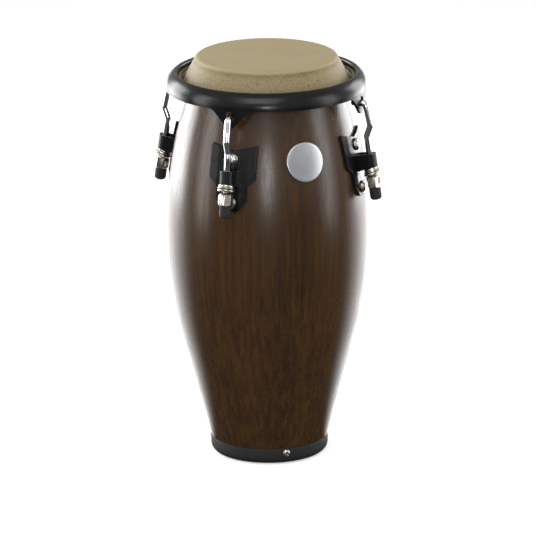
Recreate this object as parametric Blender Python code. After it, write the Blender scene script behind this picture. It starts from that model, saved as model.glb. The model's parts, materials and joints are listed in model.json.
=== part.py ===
# A mini conga: a staved wooden shell that bellies between two tapers, a rubber foot ring, a skin
# drawn over the bearing edge by a steel rim, and four tuning lugs whose hooked rods pull the rim down.
# Metres, +Z up. The origin is on the floor under the middle of the shell, and the badge faces -Y.

import math

import bmesh
import bpy
from mathutils import Matrix, Vector

# Gap between pieces that touch
CLEARANCE = 0.0003

# Shell: two straight tapers joined by one long bow
HEIGHT = 0.400
BELLY_RADIUS = 0.0993
BELLY_HEIGHT = 0.226
BOW_RADIUS = 0.435
UPPER_TAPER = math.radians(15.5)
LOWER_TAPER = math.radians(15.5)
SHELL_WALL = 0.011
BEARING_ROUND = 0.004
BEARING_BEVEL = math.radians(33)

# Foot ring and its screws
FOOT_HEIGHT = 0.016
FOOT_SOLE = 0.0057
FOOT_WALL = 0.004
FOOT_ROUND = 0.0078
FOOT_SCREW_HEIGHT = 0.0113
FOOT_SCREW_HEAD = 0.0076
FOOT_SCREW_SHANK = 0.0032
FOOT_SCREW_LENGTH = 0.013
FOOT_SCREW_AZIMUTHS = {"front": -7, "right": 113, "left": 233}

# Skin and the flesh hoop that it is tucked round
SKIN = 0.0014
HOOP_RADIUS = 0.086
HOOP_WIRE = 0.003
HOOP_DROP = 0.0262
TUCK_LIP_HEIGHT = 0.0055

# Rim: steel sheet with a rounded shoulder, an inner lip on the hoop and four ears
RIM_RADIUS = 0.0984
RIM_SHEET = 0.0028
RIM_LIP_OFFSET = 0.0004
RIM_LIP_DEPTH = 0.0024
RIM_SHOULDER = 0.016
RIM_SKIRT = 0.0021
EAR_DEPTH = 0.0183
EAR_TIP_RADIUS = 0.005
EAR_SIDE_ANGLE = math.radians(42)
EAR_FILLET = 0.009
EAR_HOLE = 0.0105

# Side plates
SEAT_HEIGHT = 0.292
PLATE_SHEET = 0.0025
PLATE_HALF_WIDTH = 0.0235
PLATE_ABOVE = 0.0395
PLATE_NOTCH = 0.006
PLATE_WING_FOOT = 0.007
PLATE_NECK_TOP = 0.0005
PLATE_NECK_HALF_WIDTH = 0.0155
PLATE_NECK_FOOT = 0.0135
PLATE_BELOW = 0.024
PLATE_TIP_HALF_WIDTH = 0.0065
PLATE_CORNER = 0.0015

# Rod strap, welded to the plate
STRAP_SHEET = 0.0026
STRAP_HEIGHT = 0.0163
STRAP_SLANT = math.radians(12.3)
STRAP_PLAY = 0.0007

# Side plate bolts
BOLT_ABOVE = 0.0257
BOLT_BELOW = 0.016
BOLT_SHANK = 0.006
BOLT_HEAD = 0.012
BOLT_HEAD_HEIGHT = 0.0034
BOLT_STICK_OUT = 0.0015
BACK_WASHER = 0.016
BACK_WASHER_SHEET = 0.0014
BACK_NUT = 0.010
BACK_NUT_HEIGHT = 0.005

# Tuning rod, measured in the lug's own plane
ROD = 0.0064
ROD_STANDOFF = 0.012
ROD_KICK_START = 0.0336
ROD_KICK_RISE = 0.0098
ROD_KICK_OUT = 0.0053
ROD_BEND = 0.006
HOOK_BEND = 0.0048
HOOK_DROP = 0.0078
HOOK_REACH = 0.0072

# Tuning washers, nut and end cap
WASHER = 0.0172
WASHER_BORE = 0.0084
CUP_WASHER_HEIGHT = 0.004
SEAT_WASHER_HEIGHT = 0.0025
SEAT_SINK = 0.0012
NUT_FLATS = 0.0126
NUT_HEIGHT = 0.0125
NUT_DOME = 0.0016
NUT_SEATING = 0.0005
CAP = 0.0115
CAP_LENGTH = 0.012
CAP_END_WALL = 0.002

# Badge
BADGE = 0.038
BADGE_THICKNESS = 0.0017
BADGE_EDGE = 0.0007
BADGE_HEIGHT = 0.314

# Azimuth of each lug from the front, positive towards +X
LUGS = {"front_left": -45, "front_right": 45, "back_right": 135, "back_left": -135}

# Sides of the turned pieces
ROUND_SIDES = 48
BOW_STEPS = 9
WASHER_SIDES = 16
SMALL_SIDES = 12

SEAT_LEAN = math.asin((SEAT_HEIGHT - BELLY_HEIGHT) / BOW_RADIUS)


def clear_scene():
    for obj in list(bpy.data.objects):
        bpy.data.objects.remove(obj, do_unlink=True)


def finish(name, colour, roughness, metallic=0.0):
    material = bpy.data.materials.new(name)
    material.use_nodes = True
    shader = material.node_tree.nodes["Principled BSDF"]
    shader.inputs["Base Color"].default_value = (*colour, 1.0)
    shader.inputs["Roughness"].default_value = roughness
    shader.inputs["Metallic"].default_value = metallic
    material.diffuse_color = (*colour, 1.0)
    return material


# Outlines


def arc(centre, radius, start, end, steps):
    """Points of an arc in a plane, with angles in radians and both ends included."""
    angles = [start + (end - start) * i / steps for i in range(steps + 1)]
    return [(centre[0] + radius * math.cos(a), centre[1] + radius * math.sin(a)) for a in angles]


def rounded(points, radii, steps, closed=False):
    """The path through the points, with an arc of each radius in place of its corner."""
    count = len(points)
    path = []
    for i, point in enumerate(points):
        radius = radii[i]
        if radius == 0 or (not closed and i in (0, count - 1)):
            path.append(point)
            continue
        corner = Vector(point)
        back = (Vector(points[i - 1]) - corner).normalized()
        ahead = (Vector(points[(i + 1) % count]) - corner).normalized()
        half = back.angle(ahead) / 2
        centre = corner + (back + ahead).normalized() * (radius / math.sin(half))
        tangent = radius / math.tan(half)
        first = corner + back * tangent - centre
        sweep = first.angle_signed(corner + ahead * tangent - centre)
        for step in range(steps + 1):
            turn = Matrix.Rotation(-sweep * step / steps, 2)
            path.append(tuple(centre + turn @ first))
    return path


def offset_radius(height, offset):
    """Radius of the shell's outer surface moved outwards by an offset, at a height."""
    bow = BOW_RADIUS + offset
    low = BELLY_HEIGHT - bow * math.sin(LOWER_TAPER)
    high = BELLY_HEIGHT + bow * math.sin(UPPER_TAPER)
    middle = BELLY_RADIUS - BOW_RADIUS
    if height < low:
        return middle + bow * math.cos(LOWER_TAPER) - (low - height) * math.tan(LOWER_TAPER)
    if height > high:
        return middle + bow * math.cos(UPPER_TAPER) - (height - high) * math.tan(UPPER_TAPER)
    return middle + math.sqrt(bow**2 - (height - BELLY_HEIGHT) ** 2)


def bow_points(offset, steps):
    """The bow from its lower tangent point to its upper one, on an offset of the shell."""
    centre = (BELLY_RADIUS - BOW_RADIUS, BELLY_HEIGHT)
    return arc(centre, BOW_RADIUS + offset, -LOWER_TAPER, UPPER_TAPER, steps)


# Meshes


def mesh_from(name, form):
    bmesh.ops.recalc_face_normals(form, faces=form.faces)
    mesh = bpy.data.meshes.new(name)
    form.to_mesh(mesh)
    form.free()
    mesh.shade_smooth()
    mesh.set_sharp_from_angle(angle=math.radians(32))
    return mesh


def turned(name, outline, sides, sweep=2 * math.pi, start=0.0):
    """A body turned about Z. An outline whose ends lie on the axis stays open there."""
    form = bmesh.new()
    whole = sweep == 2 * math.pi
    spin_start = Matrix.Rotation(start, 3, "Z")
    points = [form.verts.new(spin_start @ Vector((r, 0, z))) for r, z in outline]
    edges = [form.edges.new(pair) for pair in zip(points, points[1:])]
    if outline[0][0] > 0:
        edges.append(form.edges.new((points[-1], points[0])))
    loop = points + edges
    if not whole:
        loop.append(form.faces.new(points))
    bmesh.ops.spin(
        form, geom=loop, cent=(0, 0, 0), axis=(0, 0, 1), angle=sweep, steps=sides, use_merge=whole
    )
    bmesh.ops.remove_doubles(form, verts=form.verts, dist=1e-6)
    return mesh_from(name, form)


def extruded(name, outline, start, end, axis):
    """A prism. On axis X the outline is (y, z), and on axis Z it is (x, y)."""
    place = {"X": lambda a, b: (start, a, b), "Z": lambda a, b: (a, b, start)}[axis]
    form = bmesh.new()
    face = form.faces.new([form.verts.new(place(a, b)) for a, b in outline])
    top = bmesh.ops.extrude_face_region(form, geom=[face])
    moved = [item for item in top["geom"] if isinstance(item, bmesh.types.BMVert)]
    shift = Vector((end - start, 0, 0)) if axis == "X" else Vector((0, 0, end - start))
    bmesh.ops.translate(form, verts=moved, vec=shift)
    return mesh_from(name, form)


def rod_mesh(name, radius, start, end, sides):
    """A cylinder along X."""
    form = bmesh.new()
    bmesh.ops.create_cone(
        form, cap_ends=True, segments=sides, radius1=radius, radius2=radius, depth=end - start
    )
    turn = Matrix.Translation(((start + end) / 2, 0, 0)) @ Matrix.Rotation(math.pi / 2, 4, "Y")
    bmesh.ops.transform(form, matrix=turn, verts=form.verts)
    return mesh_from(name, form)


def gathered(name, meshes_and_places):
    """One mesh of several separate bodies, for use as a cutter."""
    form = bmesh.new()
    for mesh, place in meshes_and_places:
        piece = mesh.copy()
        piece.transform(place)
        form.from_mesh(piece)
    return mesh_from(name, form)


def shaped(mesh, *operations):
    """The mesh after each Boolean operation in turn, given as (operation, mesh)."""
    body = place(mesh.name + "_blank", mesh)
    helpers = [body]
    for operation, tool_mesh in operations:
        tool = place(tool_mesh.name + "_tool", tool_mesh)
        tool.hide_render = True
        tool.display_type = "WIRE"
        helpers.append(tool)
        step = body.modifiers.new(operation.lower(), "BOOLEAN")
        step.operation = operation
        step.object = tool
    bpy.context.view_layer.update()
    graph = bpy.context.evaluated_depsgraph_get()
    result = bpy.data.meshes.new_from_object(body.evaluated_get(graph))
    result.name = mesh.name
    for helper in helpers:
        bpy.data.objects.remove(helper, do_unlink=True)
    result.shade_smooth()
    result.set_sharp_from_angle(angle=math.radians(32))
    return result


def place(name, data, material=None, parent=None, location=(0, 0, 0), tilt=0.0, turn=0.0):
    """An object of this mesh or curve, tilted about its parent's Y and turned about Z."""
    obj = bpy.data.objects.new(name, data)
    bpy.context.scene.collection.objects.link(obj)
    obj.parent = parent
    obj.location = location
    obj.rotation_euler = (0, tilt, turn)
    if material is not None and not data.materials:
        data.materials.append(material)
    return obj


def facing(azimuth):
    """Turn about Z that points local X along an azimuth from the front."""
    return math.radians(azimuth - 90)


def spread(mesh, azimuths):
    return [(mesh, Matrix.Rotation(facing(azimuth), 4, "Z")) for azimuth in azimuths]


# Lug planes: N points out of the side plate and S points up along it


def slope_at(height):
    return math.asin((height - BELLY_HEIGHT) / BOW_RADIUS)


def on_plate(height):
    """The point of the side plate's outer face at a height of the shell, as (radius, height)."""
    slope = slope_at(height)
    reach = BOW_RADIUS + CLEARANCE + PLATE_SHEET
    return (
        BELLY_RADIUS - BOW_RADIUS + reach * math.cos(slope),
        BELLY_HEIGHT + reach * math.sin(slope),
    )


def seat_to_lug(n, s):
    radius, height = on_plate(SEAT_HEIGHT)
    return (
        radius + n * math.cos(SEAT_LEAN) - s * math.sin(SEAT_LEAN),
        height + n * math.sin(SEAT_LEAN) + s * math.cos(SEAT_LEAN),
    )


def lug_to_seat(radius, height):
    origin = on_plate(SEAT_HEIGHT)
    out = radius - origin[0]
    up = height - origin[1]
    return (
        out * math.cos(SEAT_LEAN) + up * math.sin(SEAT_LEAN),
        up * math.cos(SEAT_LEAN) - out * math.sin(SEAT_LEAN),
    )


def bolt_heights():
    return {"upper": SEAT_HEIGHT + BOLT_ABOVE, "lower": SEAT_HEIGHT - BOLT_BELOW}


def bolt_frame(height):
    """Where a bolt's axis leaves the plate's outer face, square to the shell there."""
    radius, level = on_plate(height)
    return Matrix.Translation((radius, 0, level)) @ Matrix.Rotation(-slope_at(height), 4, "Y")


# Heights and radii that several pieces share

crown_centre = (
    offset_radius(HEIGHT - SKIN - CLEARANCE - BEARING_ROUND, 0) - BEARING_ROUND / math.cos(UPPER_TAPER),
    HEIGHT - SKIN - CLEARANCE - BEARING_ROUND,
)
hoop_centre = (HOOP_RADIUS, HEIGHT - HOOP_DROP)
hoop_hollow = HOOP_WIRE + CLEARANCE
wrap_radius = hoop_hollow + SKIN
foot_radius = offset_radius(FOOT_HEIGHT + CLEARANCE, 0)
shell_foot = FOOT_SOLE + CLEARANCE
rebate_radius = foot_radius - FOOT_WALL - CLEARANCE

rim_lip_height = hoop_centre[1] + wrap_radius + CLEARANCE
rim_inner = HOOP_RADIUS + RIM_LIP_OFFSET
rim_centre_radius = RIM_RADIUS - RIM_SHOULDER
rim_crest_angle = math.acos((rim_inner + RIM_SHEET - rim_centre_radius) / (RIM_SHOULDER - RIM_SHEET))
rim_crest_height = rim_lip_height + RIM_LIP_DEPTH
rim_centre_height = rim_crest_height - (RIM_SHOULDER - RIM_SHEET) * math.sin(rim_crest_angle)
rim_edge = rim_centre_height - RIM_SKIRT
hook_height = rim_edge - HOOK_DROP
ear_hole_height = hook_height - ROD / 2 - CLEARANCE + EAR_HOLE / 2


def collar_angle():
    """Angle above level of the collar's outward normal: it touches the crown's round and the hoop."""
    out = hoop_centre[0] - crown_centre[0]
    up = hoop_centre[1] - crown_centre[1]
    crown = BEARING_ROUND + CLEARANCE + SKIN
    return math.acos((crown + hoop_hollow) / math.hypot(out, up)) + math.atan2(up, out)


# Root body


def shell_mesh():
    top = HEIGHT - SKIN - CLEARANCE
    inner_foot = offset_radius(shell_foot, -SHELL_WALL)
    bevel_start = crown_centre[0]
    bevel_height = top
    while bevel_start > offset_radius(bevel_height, -SHELL_WALL):
        bevel_start -= 0.0001
        bevel_height -= 0.0001 * math.tan(BEARING_BEVEL)
    outline = [(inner_foot, shell_foot), (rebate_radius, shell_foot)]
    outline += [(rebate_radius, FOOT_HEIGHT + CLEARANCE), (foot_radius, FOOT_HEIGHT + CLEARANCE)]
    outline += bow_points(0, BOW_STEPS)
    outline += arc(crown_centre, BEARING_ROUND, UPPER_TAPER, math.pi / 2, 3)
    outline += [(bevel_start, bevel_height)]
    outline += bow_points(-SHELL_WALL, BOW_STEPS)[::-1]
    blank = turned("shell", outline, ROUND_SIDES)
    bore = rod_mesh("bolt_bore", BOLT_SHANK / 2 + CLEARANCE, -SHELL_WALL * 2, SHELL_WALL, SMALL_SIDES)
    bores = [
        (bore, Matrix.Rotation(facing(azimuth), 4, "Z") @ bolt_frame(height))
        for azimuth in LUGS.values()
        for height in bolt_heights().values()
    ]
    screw_reach = foot_radius - FOOT_SCREW_LENGTH - CLEARANCE
    pilot_radius = FOOT_SCREW_SHANK / 2 + CLEARANCE
    pilot = rod_mesh("pilot_bore", pilot_radius, screw_reach, foot_radius, SMALL_SIDES)
    pilot.transform(Matrix.Translation((0, 0, FOOT_SCREW_HEIGHT)))
    bores += spread(pilot, FOOT_SCREW_AZIMUTHS.values())
    return shaped(blank, ("DIFFERENCE", gathered("shell_bores", bores)))


def foot_ring_mesh():
    inner = offset_radius(shell_foot, -SHELL_WALL)
    round_centre = (foot_radius - FOOT_ROUND, FOOT_ROUND)
    lip = rebate_radius + CLEARANCE
    outline = [(inner, FOOT_SOLE), (inner, 0)]
    outline += arc(round_centre, FOOT_ROUND, -math.pi / 2, 0, 4)
    outline += [(foot_radius, FOOT_HEIGHT), (lip, FOOT_HEIGHT), (lip, FOOT_SOLE)]
    blank = turned("foot_ring", outline, ROUND_SIDES)
    bore = rod_mesh(
        "screw_bore", FOOT_SCREW_SHANK / 2 + CLEARANCE, lip - FOOT_WALL, foot_radius + FOOT_WALL, SMALL_SIDES
    )
    bore.transform(Matrix.Translation((0, 0, FOOT_SCREW_HEIGHT)))
    return shaped(blank, ("DIFFERENCE", gathered("foot_bores", spread(bore, FOOT_SCREW_AZIMUTHS.values()))))


def screw_mesh(name, head, head_height, shank, length):
    """A domed screw or bolt along X, whose head's seat is at the origin."""
    dome = [(head / 2, 0), (head / 2, head_height * 0.3), (head * 0.38, head_height * 0.75)]
    outline = [(0, -length), (shank / 2, -length), (shank / 2, 0)] + dome + [(0, head_height)]
    mesh = turned(name, outline, SMALL_SIDES)
    mesh.transform(Matrix.Rotation(math.pi / 2, 4, "Y"))
    return mesh


def side_plate_mesh():
    slopes = [slope_at(SEAT_HEIGHT + rise) for rise in (-PLATE_BELOW * 1.2, PLATE_ABOVE * 1.1)]
    centre = (BELLY_RADIUS - BOW_RADIUS, BELLY_HEIGHT)
    back = arc(centre, BOW_RADIUS + CLEARANCE, slopes[0], slopes[1], 4)
    front = arc(centre, BOW_RADIUS + CLEARANCE + PLATE_SHEET, slopes[1], slopes[0], 4)
    sweep = 2.4 * math.asin(PLATE_HALF_WIDTH / back[-1][0])
    band = turned("side_plate", back + front, 8, sweep, -sweep / 2)
    half = [
        (PLATE_HALF_WIDTH, PLATE_ABOVE),
        (PLATE_HALF_WIDTH, PLATE_WING_FOOT),
        (PLATE_NECK_HALF_WIDTH, PLATE_NECK_TOP),
        (PLATE_NECK_HALF_WIDTH, -PLATE_NECK_FOOT),
        (PLATE_TIP_HALF_WIDTH, -PLATE_BELOW),
    ]
    corners = [(0, PLATE_ABOVE - PLATE_NOTCH)] + half + [(-w, rise) for w, rise in half[::-1]]
    outline = rounded(corners, [0] + [PLATE_CORNER] * (2 * len(half)), 2, closed=True)
    outline = [(w, SEAT_HEIGHT + rise) for w, rise in outline]
    prism = extruded("plate_outline", outline, BELLY_RADIUS * 0.6, BELLY_RADIUS * 1.3, "X")
    bore = rod_mesh("plate_bore", BOLT_SHANK / 2 + CLEARANCE, -SHELL_WALL, SHELL_WALL, SMALL_SIDES)
    bores = [(bore, bolt_frame(height)) for height in bolt_heights().values()]
    return shaped(
        band,
        ("INTERSECT", prism),
        ("UNION", strap_mesh()),
        ("DIFFERENCE", gathered("plate_bores", bores)),
    )


def strap_mesh():
    """The U that the rod passes through. Its lower edge is slanted to seat the washers."""
    inner = ROD / 2 + STRAP_PLAY
    outer = inner + STRAP_SHEET
    root = -PLATE_SHEET * 0.5
    nose = (ROD_STANDOFF, 0)
    outline = [(root, -outer)] + arc(nose, outer, -math.pi / 2, math.pi / 2, 8) + [(root, outer)]
    outline += [(root, inner)] + arc(nose, inner, math.pi / 2, -math.pi / 2, 8) + [(root, -inner)]
    mesh = extruded("strap", outline, 0, STRAP_HEIGHT, "Z")
    for vertex in mesh.vertices:
        if vertex.co.z < STRAP_HEIGHT / 2:
            vertex.co.z = vertex.co.x * math.tan(STRAP_SLANT)
    radius, height = on_plate(SEAT_HEIGHT)
    mesh.transform(Matrix.Translation((radius, 0, height)) @ Matrix.Rotation(-SEAT_LEAN, 4, "Y"))
    return mesh


def badge_mesh():
    """A thin disc with a soft edge, bent to lie on the shell."""
    half = BADGE / 2
    face = BADGE_THICKNESS
    outline = [(0, 0), (half * 0.5, 0), (half, 0), (half, face - BADGE_EDGE)]
    outline += [(half - BADGE_EDGE, face), (half * 0.5, face), (0, face)]
    mesh = turned("badge", outline, 24)
    mesh.transform(Matrix.Rotation(math.pi / 2, 4, "Y"))
    for vertex in mesh.vertices:
        level = BADGE_HEIGHT + vertex.co.z
        radius = offset_radius(level, CLEARANCE)
        out = vertex.co.x / math.cos(slope_at(BADGE_HEIGHT))
        vertex.co.x = out + math.sqrt(radius**2 - vertex.co.y**2)
        vertex.co.z = level
    return mesh


def head_top_mesh():
    normal = collar_angle()
    inner = BEARING_ROUND + CLEARANCE
    seam = CLEARANCE / 2 / inner
    outline = [(0, HEIGHT)]
    outline += arc(crown_centre, inner + SKIN, math.pi / 2, normal + seam, 4)
    outline += arc(crown_centre, inner, normal + seam, math.pi / 2, 3)
    outline += [(0, HEIGHT - SKIN)]
    return turned("head_top", outline, ROUND_SIDES)


# Rim body


def head_collar_mesh():
    """The straight cone of skin between the crown and the hoop."""
    normal = collar_angle()
    across = Vector((math.cos(normal), math.sin(normal)))
    along = Vector((math.sin(normal), -math.cos(normal)))
    crown = BEARING_ROUND + CLEARANCE + SKIN
    start = Vector(crown_centre) + across * crown + along * CLEARANCE
    end = Vector(hoop_centre) - across * hoop_hollow
    outline = [start, end, end - across * SKIN, start - across * SKIN]
    return turned("head_collar", [tuple(point) for point in outline], ROUND_SIDES)


def head_tuck_mesh():
    """The skin's edge, wrapped under and over the hoop, with its trimmed lip standing up."""
    start = math.pi + collar_angle() + CLEARANCE * 1.5 / hoop_hollow
    end = 2.5 * math.pi + math.radians(20)
    lip_top = hoop_centre[1] + TUCK_LIP_HEIGHT
    outer = arc(hoop_centre, wrap_radius, start, end, 7)
    inner = arc(hoop_centre, hoop_hollow, end + math.radians(15), start, 6)
    lip = [(inner[0][0] + SKIN * 0.6, lip_top), (inner[0][0] - SKIN * 0.4, lip_top)]
    return turned("head_tuck", outer + lip + inner, ROUND_SIDES)


def rim_mesh():
    centre = (rim_centre_radius, rim_centre_height)
    crest = (rim_inner + RIM_SHEET, rim_crest_height)
    ear_tip = rim_edge - EAR_DEPTH
    skirt_end = ear_tip - RIM_SHEET
    outline = [(rim_inner, rim_lip_height), (crest[0], rim_lip_height)]
    outline += arc(centre, RIM_SHOULDER - RIM_SHEET, rim_crest_angle, 0, 3)
    outline += [(RIM_RADIUS - RIM_SHEET, skirt_end), (RIM_RADIUS, skirt_end)]
    outline += arc(centre, RIM_SHOULDER, 0, rim_crest_angle, 5)
    outline += arc(crest, RIM_SHEET, rim_crest_angle, math.pi, 3)[1:]
    blank = turned("rim", outline, ROUND_SIDES)
    ring_inner = RIM_RADIUS - RIM_SHEET * 3
    ring_outer = RIM_RADIUS + RIM_SHEET * 2
    ring_foot = skirt_end - RIM_SHEET
    ring = [(ring_inner, ring_foot), (ring_outer, ring_foot), (ring_outer, rim_edge), (ring_inner, rim_edge)]
    ear = extruded("ear", ear_outline(), ring_inner - RIM_SHEET, ring_outer + RIM_SHEET, "X")
    ears = gathered("ears", spread(ear, LUGS.values()))
    waste = shaped(turned("waste", ring, ROUND_SIDES), ("DIFFERENCE", ears))
    hole = rod_mesh("ear_hole", EAR_HOLE / 2, ring_inner, ring_outer, WASHER_SIDES)
    hole.transform(Matrix.Translation((0, 0, ear_hole_height)))
    holes = gathered("ear_holes", spread(hole, LUGS.values()))
    return shaped(blank, ("DIFFERENCE", waste), ("DIFFERENCE", holes))


def ear_outline():
    """Half widths and heights of an ear: hollow fillets at the root, straight sides, a round tip."""
    tip = (0, rim_edge - EAR_DEPTH + EAR_TIP_RADIUS)
    side = Vector((math.sin(EAR_SIDE_ANGLE), math.cos(EAR_SIDE_ANGLE)))
    out = Vector((side.y, -side.x))
    leave = Vector(tip) + out * EAR_TIP_RADIUS
    rise = (rim_edge - leave.y) / side.y
    root = leave + side * rise
    level_end = (root.x + EAR_FILLET, rim_edge)
    flank = rounded([tuple(leave), tuple(root), level_end], [0, EAR_FILLET, 0], 4)[:-2]
    above = rim_edge + RIM_SHEET
    last = Vector(flank[-1])
    beyond = last + Vector((last.x - flank[-2][0], last.y - flank[-2][1])) * 0.5
    start_angle = -EAR_SIDE_ANGLE
    round_tip = arc(tip, EAR_TIP_RADIUS, -math.pi - start_angle, start_angle, 6)[1:-1]
    right = flank + [tuple(beyond), (beyond.x, above)]
    left = [(-w, height) for w, height in right[::-1]]
    return left + round_tip + right


def flesh_hoop_mesh():
    outline = arc(hoop_centre, HOOP_WIRE, 0, 2 * math.pi, 6)[:-1]
    return turned("flesh_hoop", outline, ROUND_SIDES)


# Lug pieces


def washer_mesh(name, radius, bore, height, sink=0.0):
    """A washer centred on the origin, with an optional countersink underneath."""
    half = height / 2
    edge = height * 0.2
    outline = [(bore, half), (bore, -half + sink)]
    if sink:
        outline.append((bore + sink * 1.8, -half))
    outline += [(radius - edge, -half), (radius, -half + edge), (radius, half - edge), (radius - edge, half)]
    return turned(name, outline, WASHER_SIDES)


def cup_washer_mesh():
    """A flat-topped cup whose turned edge hangs over the washer under it."""
    mesh = washer_mesh("cup_washer", WASHER / 2, WASHER_BORE / 2, CUP_WASHER_HEIGHT)
    return mesh


def hexagon(across_flats):
    corner = across_flats / math.sqrt(3)
    return arc((0, 0), corner, 0, 2 * math.pi, 6)[:-1]


def tuning_nut_mesh():
    """A hexagon nut with a domed top, chamfered foot and plain bore, centred on the origin."""
    half = NUT_HEIGHT / 2
    corner = NUT_FLATS / math.sqrt(3) * 0.985
    bore = ROD / 2 + CLEARANCE
    chamfer = NUT_FLATS * 0.1
    outline = [(bore, half), (bore, -half), (corner - chamfer, -half), (corner, -half + chamfer)]
    outline += [(corner, half - NUT_DOME * 1.6), (corner * 0.82, half - NUT_DOME * 0.6), (corner * 0.62, half)]
    blank = extruded("tuning_nut", hexagon(NUT_FLATS), -half * 1.2, half * 1.2, "Z")
    return shaped(blank, ("INTERSECT", turned("nut_envelope", outline, 2 * SMALL_SIDES)))


def back_nut_mesh():
    half = BACK_NUT_HEIGHT / 2
    blank = extruded("back_nut", hexagon(BACK_NUT), -half, half, "Z")
    bore = rod_mesh("back_nut_bore", BOLT_SHANK / 2 + CLEARANCE, -BACK_NUT, BACK_NUT, SMALL_SIDES)
    bore.transform(Matrix.Rotation(math.pi / 2, 4, "Y"))
    mesh = shaped(blank, ("DIFFERENCE", bore))
    mesh.transform(Matrix.Rotation(math.pi / 2, 4, "Y"))
    return mesh


def end_cap_mesh():
    """A rubber cap with a round end and a blind bore, hung from the origin at its open top."""
    half = CAP / 2
    bore = ROD / 2 + CLEARANCE
    end = half * 0.55
    outline = [(0, -CAP_LENGTH)]
    outline += arc((half - end, end - CAP_LENGTH), end, -math.pi / 2, 0, 3)
    outline += [(half, -end * 0.2), (half - end * 0.2, 0), (bore, 0)]
    outline += [(bore, CAP_END_WALL - CAP_LENGTH), (0, CAP_END_WALL - CAP_LENGTH)]
    return turned("end_cap", outline, SMALL_SIDES)


def rod_path(rod_end):
    """The rod's centre line from its hooked tip to its foot, in the seat's plane."""
    tip_radius = RIM_RADIUS - RIM_SHEET - HOOK_REACH
    kick_foot = (ROD_STANDOFF, ROD_KICK_START)
    kick_top = (ROD_STANDOFF + ROD_KICK_OUT, ROD_KICK_START + ROD_KICK_RISE)
    apex_radius, apex_height = seat_to_lug(*kick_top)
    level_start = RIM_RADIUS + CLEARANCE
    corner_radius = level_start
    for _ in range(12):
        lean = math.atan2(apex_radius - corner_radius, hook_height - apex_height)
        corner_radius = level_start + HOOK_BEND * math.tan((math.pi / 2 - lean) / 2)
    tip = lug_to_seat(tip_radius, hook_height)
    corner = lug_to_seat(corner_radius, hook_height)
    points = [tip, corner, kick_top, kick_foot, (ROD_STANDOFF, rod_end)]
    hook = rounded(points[:3], [0, HOOK_BEND, 0], 5)
    kick = rounded(points[1:], [0, ROD_BEND, ROD_BEND, 0], 3)
    return hook[:-1] + kick[1:]


def tuning_rod_curve(rod_end):
    curve = bpy.data.curves.new("tuning_rod", "CURVE")
    curve.dimensions = "3D"
    curve.bevel_depth = ROD / 2
    curve.bevel_resolution = 3
    curve.use_fill_caps = True
    path = rod_path(rod_end)
    spline = curve.splines.new("POLY")
    spline.points.add(len(path) - 1)
    for point, (n, s) in zip(spline.points, path):
        point.co = (n - ROD_STANDOFF, 0, s, 1)
    return curve


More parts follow.
